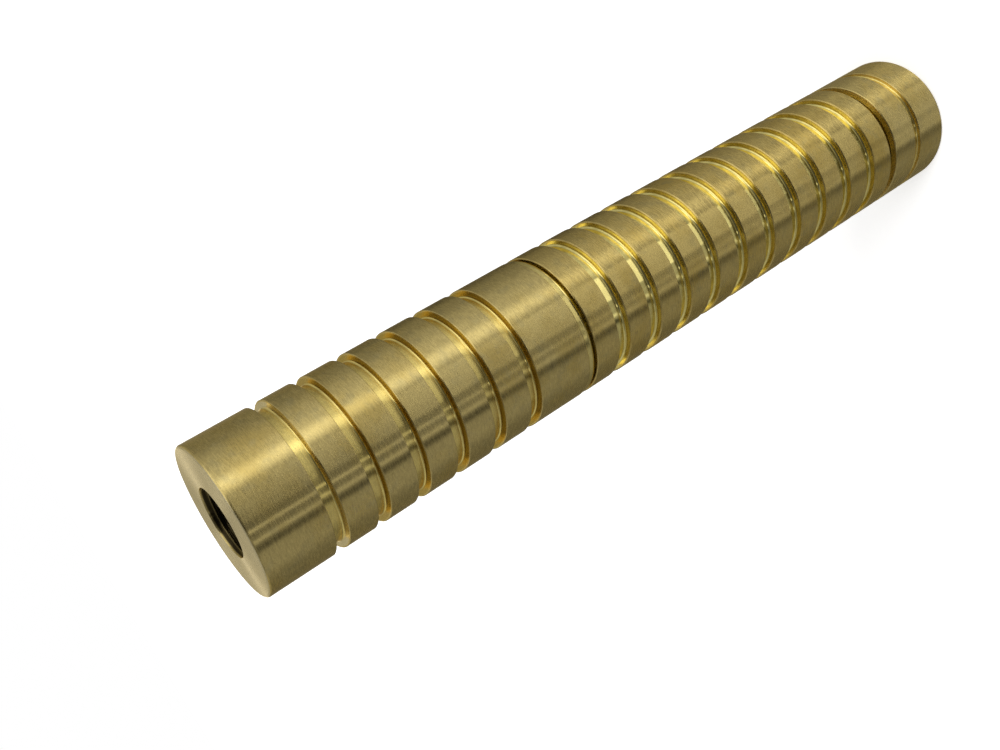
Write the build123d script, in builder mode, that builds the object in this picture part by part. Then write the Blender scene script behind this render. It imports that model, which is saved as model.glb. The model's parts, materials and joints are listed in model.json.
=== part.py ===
from build123d import *
import os
from math import cos, pi, sin, tan

# A hand-held laser pointer: a turned brass barrel of three shells, standing on its tail.
# Z runs along the barrel from the tail rim, at z = 0, to the front face. Lengths in millimetres.

# Shells
shell_wall = 1.5
spigot_wall = 1.45
cap_length = 15.0
tail_seam_gap = 1.8
head_seam_gap = 0.6
head_length = 60.65

# Grooves round the shells
head_groove_count = 6
head_groove_width = 2.2
head_groove_depth = 1.4
head_groove_pitch = 7.24
head_groove_first = 12.15
tube_groove_count = 10
tube_groove_width = 2.5
tube_groove_depth = 1.25
tube_groove_foot = 0.6
tube_groove_pitch = 7.18
cap_groove_width = 1.6
cap_groove_depth = 0.75
cap_groove_foot = 0.4
cap_groove_height = 8.1

# Shell edges
front_chamfer = 0.4
tail_chamfer = 0.5
seam_chamfer = 0.2
lip_step = 0.3
lip_length = 1.35
lip_chamfer = 0.6
mouth_lead = 0.3

# Screwed spigots of the tube, with the seals at their roots
thread_depth = 0.6
head_thread_length = 6.2
spigot_lead = 0.4
o_ring_setback = 0.7
o_ring_groove_width = 1.2
o_ring_groove_depth = 0.8
o_ring_shoulder = 0.5

# Clearances
running_clearance = 0.05
fitting_gap = 0.1
rest_gap = 0.02
body_gap = 0.4

# Battery
cell_r = 9.2
cell_clearance = 0.3
cell_body_length = 67.9
cell_chamfer = 0.5
cell_button_r = 3.2
cell_button_height = 1.6

# Button and its boot
recess_r = 7.6
recess_depth = 2.0
recess_chamfer = 0.4
cap_web = 1.2
boot_r = 4.4
boot_hole_clearance = 0.25
boot_flange = 0.9
boot_wall = 0.9
boot_tip_height = 0.6
boot_tip_chamfer = 0.9
plunger_stem_r = 2.3
plunger_head_r = 4.0
plunger_head = 1.2
plunger_peg_r = 1.7
plunger_peg = 0.9
plunger_travel = 1.2
plunger_edge = 0.25

# Switch
carrier_step = 0.4
carrier_flange = 1.8
carrier_floor = 1.2
carrier_wall = 1.5
carrier_cavity_depth = 6.1
bridge_clearance = 0.7
bridge_thickness = 0.4
terminal_r = 0.6
terminal_inset = 0.8
board_thickness = 1.0
retainer_wall = 0.5
retainer_flange = 1.6
retainer_slot_width = 1.6
retainer_slot_depth = 0.9

# Coil springs, wound in short straight lengths of six-sided wire
coil_facets = 12
wire_sides = 6
return_spring_r = 3.3
return_spring_wire_r = 0.18
return_spring_turns = 5
tail_spring_low_r = 6.6
tail_spring_high_r = 4.6
tail_spring_wire_r = 0.4
tail_spring_turns = 4
tail_spring_height = 8.6
positive_spring_r = 3.4
positive_spring_wire_r = 0.35
positive_spring_turns = 3
positive_spring_height = 4.5
lens_spring_wire_r = 0.22
lens_spring_turns = 4
lens_spring_height = 5.0

# Driver and its housing
housing_shoulder = 1.5
housing_neck_clearance = 0.25
housing_neck_wall = 0.7
housing_neck_length = 7.95
housing_flange = 1.0
housing_ledge = 0.6
housing_front_wall = 3.0
housing_boss_step = 0.5
housing_boss = 2.0
housing_wire_hole_r = 2.0
inductor_side = 5.6
inductor_height = 3.2
inductor_inset = 4.3
chip_length = 5.0
chip_width = 4.0
chip_height = 1.6
chip_inset = 4.3
capacitor_length = 3.2
capacitor_width = 1.6
capacitor_height = 1.3
capacitor_inset = 3.0
capacitor_y = 3.0
component_edge = 0.3

# Laser module
module_r = 6.0
module_clearance = 0.02
module_front_length = 18.0
module_rear_length = 12.0
module_sleeve = 0.8
module_spigot = 2.5
module_pin_bore_r = 3.2
module_rear_bore_r = 4.6
lens_thread_r = 4.5
diode_seat_depth = 1.4
diode_seat_web = 1.1
diode_base_r = 2.8
diode_base = 1.2
diode_can_r = 1.78
diode_can = 2.3
diode_window_r = 0.8
diode_window_depth = 0.25
diode_pin_r = 0.225
diode_pin_length = 6.5
diode_pin_circle_r = 1.0
holder_length = 8.0
holder_slot_width = 1.0
holder_slot_depth = 1.0
lens_r = 3.2
lens_edge = 1.5
lens_crown = 1.1
lens_seat = 0.6
lens_seat_depth = 3.0

# Wires from the driver to the diode
wire_r = 0.45
wire_pad_inset = 3.3
wire_rise = 4.5
wire_run_in = 3.48
wire_arc_share = 0.45
lead_sides = 8

# Front end
front_thread_r = 5.75
front_thread_length = 3.2
front_mouth_chamfer = 0.1
window_ring_step = 0.3
window_ring_wall = 1.4
window_ring_thickness = 1.6
window_ring_slot_width = 1.2
window_ring_slot_depth = 0.7
seal_thickness = 0.4
window_edge = 0.3
window_thickness = 1.0
front_web = 1.8

# Heights, from the tail rim upwards
tube_low = cap_length + tail_seam_gap

web_top = recess_depth + cap_web
boot_top = web_top + boot_flange
carrier_floor_top = boot_top + carrier_floor
carrier_flange_top = boot_top + carrier_flange
carrier_top = carrier_floor_top + carrier_cavity_depth
retainer_flange_top = carrier_flange_top + retainer_flange
switch_board_top = carrier_top + board_thickness
plunger_low = boot_tip_height + boot_wall + rest_gap
plunger_head_low = carrier_floor_top + rest_gap
bridge_low = plunger_head_low + plunger_head
bridge_top = bridge_low + bridge_thickness
terminal_low = bridge_top + plunger_travel + rest_gap

tail_spigot_low = retainer_flange_top + rest_gap
tail_seal_low = cap_length - o_ring_setback - o_ring_groove_width
tail_land_low = tail_seal_low - o_ring_shoulder

# The tube is as long as the cell and its springs need, up to the driver's board
cell_low = switch_board_top + tail_spring_height
cell_body_top = cell_low + cell_body_length
cell_top = cell_body_top + cell_button_height
driver_board_low = cell_top + rest_gap + positive_spring_height
driver_board_top = driver_board_low + board_thickness
housing_low = driver_board_low + housing_neck_length
head_spigot_high = housing_low - rest_gap
head_land_high = head_spigot_high - head_thread_length
head_seal_low = head_land_high - o_ring_shoulder - o_ring_groove_width
head_low = head_seal_low - o_ring_setback
tube_high = head_low - head_seam_gap
overall_length = head_low + head_length

window_ring_top = overall_length - front_thread_length
window_ring_low = window_ring_top - window_ring_thickness
window_top = window_ring_low - seal_thickness
window_low = window_top - window_thickness
module_top = window_low - front_web
module_split = module_top - module_front_length
module_low = module_split - module_rear_length

housing_flange_top = housing_low + housing_flange
housing_top = module_low - housing_boss
housing_cavity_top = housing_top - housing_front_wall

diode_base_top = module_split + diode_seat_depth
diode_base_low = diode_base_top - diode_base
diode_pin_low = diode_base_low - diode_pin_length
lens_chamber_low = diode_base_top + diode_seat_web
holder_low = lens_chamber_low + lens_spring_height
holder_top = holder_low + holder_length
lens_low = holder_top - lens_seat_depth

# Radii, from the cell outwards to the barrel
battery_bore_r = cell_r + cell_clearance
spigot_r = battery_bore_r + spigot_wall
thread_r = spigot_r + running_clearance
barrel_r = thread_r + shell_wall
spigot_core_r = spigot_r - thread_depth
seal_floor_r = spigot_r - o_ring_groove_depth

# Radii of the pieces inside the shells
boot_hole_r = boot_r + boot_hole_clearance
boot_flange_r = thread_r - body_gap
retainer_neck_r = battery_bore_r - body_gap
switch_board_r = retainer_neck_r - retainer_wall - fitting_gap
carrier_r = switch_board_r - carrier_step
carrier_bore_r = carrier_r - carrier_wall
bridge_r = carrier_bore_r - bridge_clearance
terminal_circle_r = bridge_r - terminal_inset
housing_r = thread_r - housing_shoulder
housing_neck_r = battery_bore_r - housing_neck_clearance
driver_board_r = housing_neck_r - housing_neck_wall - running_clearance
housing_cavity_r = driver_board_r - housing_ledge
housing_boss_r = module_r - housing_boss_step
module_spigot_r = module_r - module_sleeve
lens_spring_r = lens_thread_r - body_gap
holder_light_r = lens_r - lens_seat
window_ring_r = front_thread_r - window_ring_step
window_ring_bore_r = window_ring_r - window_ring_wall
window_r = window_ring_r - window_edge
pick_tolerance = 0.001


def turn(radius, low, high):
    """Adds a round length of the piece between two heights."""
    with BuildSketch(Plane.XY.offset(low)) as section:
        Circle(radius)
    extrude(section.sketch, amount=high - low)


def bore(radius, low, high):
    """Cuts a round hole along the axis between two heights."""
    with BuildSketch(Plane.XY.offset(low)) as section:
        Circle(radius)
    extrude(section.sketch, amount=high - low, mode=Mode.SUBTRACT)


def rim(piece, radius, height):
    """Picks the round edge with this radius at this height."""
    circles = piece.edges().filter_by(GeomType.CIRCLE)
    level = circles.filter_by(lambda edge: abs(edge.arc_center.Z - height) < pick_tolerance)
    return level.filter_by(lambda edge: abs(edge.radius - radius) < pick_tolerance)


def cut_groove(middle, width, depth, foot=0.0):
    """Cuts one groove round the barrel, bevelled at its foot where one is given."""
    with BuildSketch(Plane.XZ) as section:
        with Locations((barrel_r - depth, middle)):
            Rectangle(2 * depth, width, align=(Align.MIN, Align.CENTER))
        if foot:
            chamfer(section.vertices().group_by(Axis.X)[0], foot)
    revolve(section.sketch, axis=Axis.Z, mode=Mode.SUBTRACT)


def cut_seal_groove(low):
    """Cuts the groove of a seal ring into a spigot of the tube."""
    with BuildSketch(Plane.XY.offset(low)) as section:
        Circle(thread_r)
        Circle(seal_floor_r, mode=Mode.SUBTRACT)
    extrude(section.sketch, amount=o_ring_groove_width, mode=Mode.SUBTRACT)


def cut_key_slots(outer_r, inner_r, top, width, depth):
    """Cuts a pair of slots for a pin key across the top of a ring."""
    with BuildSketch(Plane.XY.offset(top)) as section:
        with PolarLocations((outer_r + inner_r) / 2, 2):
            Rectangle(2 * (outer_r - inner_r), width)
    extrude(section.sketch, amount=-depth, mode=Mode.SUBTRACT)


def seal_ring(low):
    """Adds a seal ring that fills its groove with a running clearance."""
    with BuildSketch(Plane.XZ) as section:
        with Locations(((thread_r + seal_floor_r) / 2, low + o_ring_groove_width / 2)):
            RegularPolygon((thread_r - seal_floor_r) / 2 - running_clearance, wire_sides)
    revolve(section.sketch, axis=Axis.Z)


def coil(low_r, high_r, coil_wire_r, turns, low, high):
    """Adds a coil spring of given outer radii that fills the height between two faces."""
    steps = turns * coil_facets
    points = []
    for step in range(steps + 1):
        share = step / steps
        angle = 2 * pi * step / coil_facets
        radius = low_r + (high_r - low_r) * share - coil_wire_r
        height = low + coil_wire_r + (high - low - 2 * coil_wire_r) * share
        points.append((radius * cos(angle), radius * sin(angle), height))
    with BuildLine() as path:
        Polyline(*points)
    with BuildSketch(Plane(origin=path.line @ 0, z_dir=path.line % 0)) as section:
        RegularPolygon(coil_wire_r, wire_sides)
    sweep(section.sketch, path=path.line, transition=Transition.RIGHT)


def board_component(x, y, length, width, height):
    """Adds a component with softened upper edges on top of the driver board."""
    with BuildSketch(Plane.XY.offset(driver_board_top)) as foot:
        with Locations((x, y)):
            RectangleRounded(length, width, component_edge)
    extrude(foot.sketch, amount=height)


def wire(side):
    """Adds a wire from its pad on the driver board to the diode's pin on one side."""
    pad_x = side * (housing_cavity_r - wire_pad_inset)
    pin_x = side * diode_pin_circle_r
    points = [
        Vector(pad_x, 0, driver_board_top),
        Vector(pad_x, 0, driver_board_top + wire_rise),
        Vector(pin_x, 0, housing_cavity_top - wire_run_in),
        Vector(pin_x, 0, diode_pin_low),
    ]
    runs = [end - start for start, end in zip(points, points[1:])]
    radii = []
    for before, after in zip(runs, runs[1:]):
        half_turn = before.get_angle(after) * pi / 360
        radii.append(wire_arc_share * min(before.length, after.length) / tan(half_turn))
    with BuildLine() as path:
        FilletPolyline(*points, radius=radii)
    with BuildSketch(Plane.XY.offset(driver_board_top)) as section:
        with Locations((pad_x, 0)):
            RegularPolygon(wire_r, lead_sides)
    sweep(section.sketch, path=path.line)


os.makedirs("parts", exist_ok=True)

# Tail cap: finger recess and boot hole below, screwed mouth above
with BuildPart() as tail_cap:
    turn(barrel_r, 0, cap_length)
    chamfer(rim(tail_cap, barrel_r, 0), tail_chamfer)
    chamfer(rim(tail_cap, barrel_r, cap_length), seam_chamfer)
    bore(recess_r, 0, recess_depth)
    chamfer(rim(tail_cap, recess_r, 0), recess_chamfer)
    bore(boot_hole_r, recess_depth, web_top)
    bore(thread_r, web_top, cap_length)
    chamfer(rim(tail_cap, thread_r, cap_length), mouth_lead)
    cut_groove(cap_groove_height, cap_groove_width, cap_groove_depth, cap_groove_foot)
tail_cap.part.label = "tail_cap"
export_step(tail_cap.part, "parts/tail_cap.step")

# Rubber boot: a flange clamped on the cap's web and a hollow tip that the finger presses
with BuildPart() as switch_boot:
    turn(boot_r, boot_tip_height, web_top)
    chamfer(rim(switch_boot, boot_r, boot_tip_height), boot_tip_chamfer)
    turn(boot_flange_r, web_top, boot_top)
    bore(boot_r - boot_wall, boot_tip_height + boot_wall, boot_top)
switch_boot.part.label = "switch_boot"
export_step(switch_boot.part, "parts/switch_boot.step")

# Switch body: a moulded cup that guides the plunger
with BuildPart() as switch_carrier:
    turn(thread_r - fitting_gap, boot_top, carrier_flange_top)
    turn(carrier_r, carrier_flange_top, carrier_top)
    bore(carrier_bore_r, carrier_floor_top, carrier_top)
    bore(plunger_stem_r + running_clearance, boot_top, carrier_floor_top)
switch_carrier.part.label = "switch_carrier"
export_step(switch_carrier.part, "parts/switch_carrier.step")

# Plunger: stem through the cup's floor, head above it, peg for the contact disc
with BuildPart() as switch_plunger:
    turn(plunger_stem_r, plunger_low, plunger_head_low)
    chamfer(rim(switch_plunger, plunger_stem_r, plunger_low), plunger_edge)
    turn(plunger_head_r, plunger_head_low, bridge_low)
    turn(plunger_peg_r, bridge_low, bridge_low + plunger_peg)
    chamfer(rim(switch_plunger, plunger_peg_r, bridge_low + plunger_peg), plunger_edge)
switch_plunger.part.label = "switch_plunger"
export_step(switch_plunger.part, "parts/switch_plunger.step")

# Contact disc carried by the plunger
with BuildPart() as contact_bridge:
    turn(bridge_r, bridge_low, bridge_top)
    bore(plunger_peg_r + running_clearance, bridge_low, bridge_top)
contact_bridge.part.label = "contact_bridge"
export_step(contact_bridge.part, "parts/contact_bridge.step")

# Fixed contacts that hang from the switch board
with BuildPart() as switch_terminals:
    with BuildSketch(Plane.XY.offset(terminal_low)):
        with PolarLocations(terminal_circle_r, 2):
            Circle(terminal_r)
    extrude(amount=carrier_top - terminal_low)
switch_terminals.part.label = "switch_terminals"
export_step(switch_terminals.part, "parts/switch_terminals.step")

# Button's coil spring, between the contact disc and the board
with BuildPart() as switch_return_spring:
    coil(
        return_spring_r,
        return_spring_r,
        return_spring_wire_r,
        return_spring_turns,
        bridge_top + rest_gap,
        carrier_top,
    )
switch_return_spring.part.label = "switch_return_spring"
export_step(switch_return_spring.part, "parts/switch_return_spring.step")

# Round board that closes the cup
with BuildPart() as switch_board:
    turn(switch_board_r, carrier_top, switch_board_top)
switch_board.part.label = "switch_board"
export_step(switch_board.part, "parts/switch_board.step")

# Threaded ring that clamps the switch, with a neck round the cup and the board
with BuildPart() as switch_retainer:
    turn(spigot_r, carrier_flange_top, retainer_flange_top)
    turn(retainer_neck_r, retainer_flange_top, switch_board_top)
    bore(carrier_r + fitting_gap, carrier_flange_top, carrier_top)
    bore(switch_board_r + fitting_gap, carrier_top, switch_board_top)
    cut_key_slots(
        retainer_neck_r,
        switch_board_r,
        switch_board_top,
        retainer_slot_width,
        retainer_slot_depth,
    )
switch_retainer.part.label = "switch_retainer"
export_step(switch_retainer.part, "parts/switch_retainer.step")

# Conical contact spring under the cell
with BuildPart() as tail_spring:
    coil(
        tail_spring_low_r,
        tail_spring_high_r,
        tail_spring_wire_r,
        tail_spring_turns,
        switch_board_top,
        cell_low,
    )
tail_spring.part.label = "tail_spring"
export_step(tail_spring.part, "parts/tail_spring.step")

# Cell: a sealed can with a button contact on top
with BuildPart() as battery_cell:
    turn(cell_r, cell_low, cell_body_top)
    chamfer(rim(battery_cell, cell_r, cell_low), cell_chamfer)
    chamfer(rim(battery_cell, cell_r, cell_body_top), cell_chamfer)
    turn(cell_button_r, cell_body_top, cell_top)
battery_cell.part.label = "battery_cell"
export_step(battery_cell.part, "parts/battery_cell.step")

# Battery tube: grooved grip with a screwed spigot at each end
with BuildPart() as battery_tube:
    turn(barrel_r, tube_low, tube_high)
    chamfer(rim(battery_tube, barrel_r, tube_low), seam_chamfer)
    chamfer(rim(battery_tube, barrel_r, tube_high), seam_chamfer)
    turn(spigot_r, tail_land_low, tube_low)
    turn(spigot_core_r, tail_spigot_low, tail_land_low)
    chamfer(rim(battery_tube, spigot_core_r, tail_spigot_low), spigot_lead)
    turn(spigot_r, tube_high, head_land_high)
    turn(spigot_core_r, head_land_high, head_spigot_high)
    chamfer(rim(battery_tube, spigot_core_r, head_spigot_high), spigot_lead)
    cut_seal_groove(tail_seal_low)
    cut_seal_groove(head_seal_low)
    bore(battery_bore_r, tail_spigot_low, head_spigot_high)
    tube_middle = (tube_low + tube_high) / 2
    for index in range(tube_groove_count):
        offset_from_middle = (index - (tube_groove_count - 1) / 2) * tube_groove_pitch
        middle = tube_middle + offset_from_middle
        cut_groove(middle, tube_groove_width, tube_groove_depth, tube_groove_foot)
battery_tube.part.label = "battery_tube"
export_step(battery_tube.part, "parts/battery_tube.step")

# Seal rings at the roots of the two spigots
with BuildPart() as tail_o_ring:
    seal_ring(tail_seal_low)
tail_o_ring.part.label = "tail_o_ring"
export_step(tail_o_ring.part, "parts/tail_o_ring.step")

with BuildPart() as head_o_ring:
    seal_ring(head_seal_low)
head_o_ring.part.label = "head_o_ring"
export_step(head_o_ring.part, "parts/head_o_ring.step")

# Head: bevelled lip at the rear seam, six square grooves, stepped bore for the optics
with BuildPart() as head_shell:
    turn(barrel_r - lip_step, head_low, head_low + lip_length)
    chamfer(rim(head_shell, barrel_r - lip_step, head_low), lip_chamfer)
    turn(barrel_r, head_low + lip_length, overall_length)
    chamfer(rim(head_shell, barrel_r, overall_length), front_chamfer)
    bore(thread_r, head_low, housing_flange_top)
    chamfer(rim(head_shell, thread_r, head_low), mouth_lead)
    bore(housing_r + running_clearance, housing_flange_top, housing_top + rest_gap)
    bore(module_r + module_clearance, housing_top, module_top)
    bore(lens_thread_r, module_top, window_low)
    bore(window_r + fitting_gap, window_low, window_ring_low)
    bore(window_ring_r + running_clearance, window_ring_low, window_ring_top)
    bore(front_thread_r, window_ring_top, overall_length)
    chamfer(rim(head_shell, front_thread_r, overall_length), front_mouth_chamfer)
    for index in range(head_groove_count):
        middle = overall_length - head_groove_first - index * head_groove_pitch
        cut_groove(middle, head_groove_width, head_groove_depth)
head_shell.part.label = "head_shell"
export_step(head_shell.part, "parts/head_shell.step")

# Driver housing: neck inside the tube, flange clamped by it, boss behind the module
with BuildPart() as driver_housing:
    turn(housing_neck_r, driver_board_low, housing_low)
    turn(thread_r - fitting_gap, housing_low, housing_flange_top)
    turn(housing_r, housing_flange_top, housing_top)
    turn(housing_boss_r, housing_top, module_low)
    bore(driver_board_r + running_clearance, driver_board_low, driver_board_top)
    bore(housing_cavity_r, driver_board_top, housing_cavity_top)
    bore(housing_wire_hole_r, housing_cavity_top, module_low)
driver_housing.part.label = "driver_housing"
export_step(driver_housing.part, "parts/driver_housing.step")

# Driver board and the parts on its front side
with BuildPart() as driver_board:
    turn(driver_board_r, driver_board_low, driver_board_top)
driver_board.part.label = "driver_board"
export_step(driver_board.part, "parts/driver_board.step")

with BuildPart() as driver_inductor:
    inductor_y = inductor_inset - housing_cavity_r
    board_component(0, inductor_y, inductor_side, inductor_side, inductor_height)
    chamfer(driver_inductor.faces().sort_by(Axis.Z)[-1].edges(), component_edge)
driver_inductor.part.label = "driver_inductor"
export_step(driver_inductor.part, "parts/driver_inductor.step")

with BuildPart() as driver_chip:
    board_component(0, housing_cavity_r - chip_inset, chip_length, chip_width, chip_height)
    chamfer(driver_chip.faces().sort_by(Axis.Z)[-1].edges(), component_edge)
driver_chip.part.label = "driver_chip"
export_step(driver_chip.part, "parts/driver_chip.step")

with BuildPart() as driver_capacitors:
    for side in (-1, 1):
        board_component(
            side * (housing_cavity_r - capacitor_inset),
            capacitor_y,
            capacitor_width,
            capacitor_length,
            capacitor_height,
        )
driver_capacitors.part.label = "driver_capacitors"
export_step(driver_capacitors.part, "parts/driver_capacitors.step")

# Contact spring between the driver board and the cell's button
with BuildPart() as positive_spring:
    coil(
        positive_spring_r,
        positive_spring_r,
        positive_spring_wire_r,
        positive_spring_turns,
        cell_top + rest_gap,
        driver_board_low,
    )
positive_spring.part.label = "positive_spring"
export_step(positive_spring.part, "parts/positive_spring.step")

# Two wires from the board to the diode's outer pins
with BuildPart() as diode_lead_red:
    wire(1)
diode_lead_red.part.label = "diode_lead_red"
export_step(diode_lead_red.part, "parts/diode_lead_red.step")

with BuildPart() as diode_lead_black:
    wire(-1)
diode_lead_black.part.label = "diode_lead_black"
export_step(diode_lead_black.part, "parts/diode_lead_black.step")

# Rear half of the laser module, round the diode's pins
with BuildPart() as module_rear:
    turn(module_r, module_low, module_split)
    bore(module_rear_bore_r, module_low, module_split - module_spigot)
    bore(module_spigot_r + running_clearance, module_split - module_spigot, module_split)
module_rear.part.label = "module_rear"
export_step(module_rear.part, "parts/module_rear.step")

# Front half of the laser module: diode seat behind, lens chamber in front
with BuildPart() as module_front:
    turn(module_spigot_r, module_split - module_spigot, module_split)
    turn(module_r, module_split, module_top)
    bore(module_pin_bore_r, module_split - module_spigot, module_split)
    bore(diode_base_r + fitting_gap, module_split, diode_base_top)
    bore(diode_can_r + fitting_gap, diode_base_top, lens_chamber_low)
    bore(lens_thread_r, lens_chamber_low, module_top)
module_front.part.label = "module_front"
export_step(module_front.part, "parts/module_front.step")

# Laser diode: base, can with a window in its top, three pins
with BuildPart() as laser_diode:
    turn(diode_base_r, diode_base_low, diode_base_top)
    turn(diode_can_r, diode_base_top, diode_base_top + diode_can)
    bore(
        diode_window_r,
        diode_base_top + diode_can - diode_window_depth,
        diode_base_top + diode_can,
    )
    with BuildSketch(Plane.XY.offset(diode_base_low)):
        with PolarLocations(diode_pin_circle_r, 3, angular_range=180, endpoint=True):
            Circle(diode_pin_r)
    extrude(amount=-diode_pin_length)
laser_diode.part.label = "laser_diode"
export_step(laser_diode.part, "parts/laser_diode.step")

# Spring behind the lens holder, round the diode's can
with BuildPart() as lens_spring:
    coil(
        lens_spring_r,
        lens_spring_r,
        lens_spring_wire_r,
        lens_spring_turns,
        lens_chamber_low,
        holder_low,
    )
lens_spring.part.label = "lens_spring"
export_step(lens_spring.part, "parts/lens_spring.step")

# Lens holder: threaded barrel with a seat for the lens and two key slots
with BuildPart() as lens_holder:
    turn(lens_thread_r - running_clearance, holder_low, holder_top)
    bore(holder_light_r, holder_low, lens_low)
    bore(lens_r + running_clearance, lens_low, holder_top)
    cut_key_slots(
        lens_thread_r - running_clearance,
        lens_r,
        holder_top,
        holder_slot_width,
        holder_slot_depth,
    )
lens_holder.part.label = "lens_holder"
export_step(lens_holder.part, "parts/lens_holder.step")

# Lens: flat behind, crowned in front
with BuildPart() as collimating_lens:
    with BuildSketch(Plane.XZ):
        with BuildLine():
            rim_height = lens_low + lens_edge
            crown_r = (lens_r**2 + lens_crown**2) / (2 * lens_crown)
            pole = (0, rim_height + lens_crown)
            Polyline(pole, (0, lens_low), (lens_r, lens_low), (lens_r, rim_height))
            RadiusArc((lens_r, rim_height), pole, -crown_r)
        make_face()
    revolve(axis=Axis.Z)
collimating_lens.part.label = "collimating_lens"
export_step(collimating_lens.part, "parts/collimating_lens.step")

# Window, seal and threaded ring behind the front thread
with BuildPart() as front_window:
    turn(window_r, window_low, window_top)
front_window.part.label = "front_window"
export_step(front_window.part, "parts/front_window.step")

with BuildPart() as window_seal:
    turn(window_r, window_top, window_ring_low)
    bore(window_ring_bore_r, window_top, window_ring_low)
window_seal.part.label = "window_seal"
export_step(window_seal.part, "parts/window_seal.step")

with BuildPart() as window_ring:
    turn(window_ring_r, window_ring_low, window_ring_top)
    bore(window_ring_bore_r, window_ring_low, window_ring_top)
    cut_key_slots(
        window_ring_r,
        window_ring_bore_r,
        window_ring_top,
        window_ring_slot_width,
        window_ring_slot_depth,
    )
window_ring.part.label = "window_ring"
export_step(window_ring.part, "parts/window_ring.step")
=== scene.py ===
import json
import math

import bmesh
import bpy
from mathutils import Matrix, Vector


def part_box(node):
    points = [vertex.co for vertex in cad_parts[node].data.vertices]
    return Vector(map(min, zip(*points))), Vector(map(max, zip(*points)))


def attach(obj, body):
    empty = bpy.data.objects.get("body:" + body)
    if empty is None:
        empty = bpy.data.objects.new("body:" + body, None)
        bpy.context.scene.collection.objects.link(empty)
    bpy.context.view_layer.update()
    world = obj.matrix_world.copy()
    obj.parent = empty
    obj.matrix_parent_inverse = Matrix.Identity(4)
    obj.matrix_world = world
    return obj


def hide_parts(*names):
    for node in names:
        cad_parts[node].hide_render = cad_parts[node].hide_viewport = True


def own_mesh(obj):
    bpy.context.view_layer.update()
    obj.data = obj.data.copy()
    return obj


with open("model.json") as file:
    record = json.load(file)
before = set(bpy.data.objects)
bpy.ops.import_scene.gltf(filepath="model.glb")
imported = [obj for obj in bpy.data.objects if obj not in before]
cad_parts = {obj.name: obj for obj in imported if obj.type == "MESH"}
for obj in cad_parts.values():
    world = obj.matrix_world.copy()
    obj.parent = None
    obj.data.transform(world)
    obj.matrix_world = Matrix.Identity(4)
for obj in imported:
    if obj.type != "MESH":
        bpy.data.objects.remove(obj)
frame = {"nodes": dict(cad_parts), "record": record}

mm = 0.001
weld = 2e-7                       # points nearer than this, in metres, become one
sharpAngle = math.radians(32)     # edges that bend more than this stay crisp
scene = bpy.context.scene
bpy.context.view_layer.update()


def nodeSpan(name):
    # outer radius, lowest and highest height of a round node, in mm
    low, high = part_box(name)
    return high[0] / mm, low[2] / mm, high[2] / mm


barrelR, capLow, capHigh = nodeSpan("tail_cap")
_, tubeLow, tubeHigh = nodeSpan("battery_tube")
_, headLow, headHigh = nodeSpan("head_shell")
ringR, ringLow, ringHigh = nodeSpan("window_ring")
windowR, windowLow, _ = nodeSpan("front_window")
mounts = {mount["name"]: mount for mount in frame["record"]["mounts"]}
frontThreadR = mounts["front_thread"]["dims"]["r_mm"]
tailSeam, headSeam = 1.8, 0.6     # widths of the gaps between the shells, in mm
tubeBottom, tubeTop = capHigh + tailSeam, headLow - headSeam
print("frame read, pointer", round(headHigh, 2), "mm long")


def addObject(name, data):
    made = bpy.data.objects.new(name, data)
    scene.collection.objects.link(made)
    return made


def addNode(tree, kind, inputs=None, **settings):
    # inputs are sockets to link or plain values, by name or number
    made = tree.nodes.new(kind)
    for name, value in settings.items():
        setattr(made, name, value)
    for key, value in (inputs or {}).items():
        if isinstance(value, bpy.types.NodeSocket):
            tree.links.new(value, made.inputs[key])
        else:
            made.inputs[key].default_value = value
    return made


def calc(tree, operation, first, second=0.0, third=0.0, clamp=False):
    values = {0: first, 1: second, 2: third}
    return addNode(tree, "ShaderNodeMath", values, operation=operation, use_clamp=clamp).outputs[0]


def times(tree, first, second):
    return calc(tree, "MULTIPLY", first, second)


def beyond(tree, value, limit):
    # limit in mm
    return calc(tree, "GREATER_THAN", value, limit * mm)


def within(tree, value, limit):
    return calc(tree, "LESS_THAN", value, limit * mm)


def placeRound(tree, geometry, radius, turn, height):
    # moves the points of a geometry to their places round Z
    x = times(tree, radius, calc(tree, "COSINE", turn))
    y = times(tree, radius, calc(tree, "SINE", turn))
    where = addNode(tree, "ShaderNodeCombineXYZ", {"X": x, "Y": y, "Z": height})
    return addNode(tree, "GeometryNodeSetPosition", {
        "Geometry": geometry, "Position": where.outputs[0]}).outputs[0]


def newTree(name, sockets):
    tree = bpy.data.node_groups.new(name, "GeometryNodeTree")
    for label, kind in sockets:
        tree.interface.new_socket(name=label, in_out="INPUT", socket_type="NodeSocket" + kind)
    tree.interface.new_socket(name="Geometry", in_out="OUTPUT", socket_type="NodeSocketGeometry")
    return tree, tree.nodes.new("NodeGroupInput").outputs


def endTree(tree, geometry, material):
    whole = addNode(tree, "GeometryNodeRealizeInstances", {"Geometry": geometry}).outputs[0]
    done = addNode(tree, "GeometryNodeSetMaterial", {"Geometry": whole, "Material": material})
    out = tree.nodes.new("NodeGroupOutput")
    tree.links.new(done.outputs[0], out.inputs["Geometry"])


def bakeTree(name, tree, values):
    # runs a tree on an empty mesh and keeps the result as a plain mesh object
    source = addObject(name + "Source", bpy.data.meshes.new(name + "Source"))
    modifier = source.modifiers.new("build", "NODES")
    modifier.node_group = tree
    for item in tree.interface.items_tree:
        if item.in_out == "INPUT" and item.name in values:
            modifier[item.identifier] = values[item.name]
    bpy.context.view_layer.update()
    evaluated = source.evaluated_get(bpy.context.evaluated_depsgraph_get())
    mesh = bpy.data.meshes.new_from_object(evaluated)
    source.modifiers.remove(modifier)
    bpy.data.objects.remove(source)
    mesh.name = name
    return addObject(name, mesh)


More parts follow.
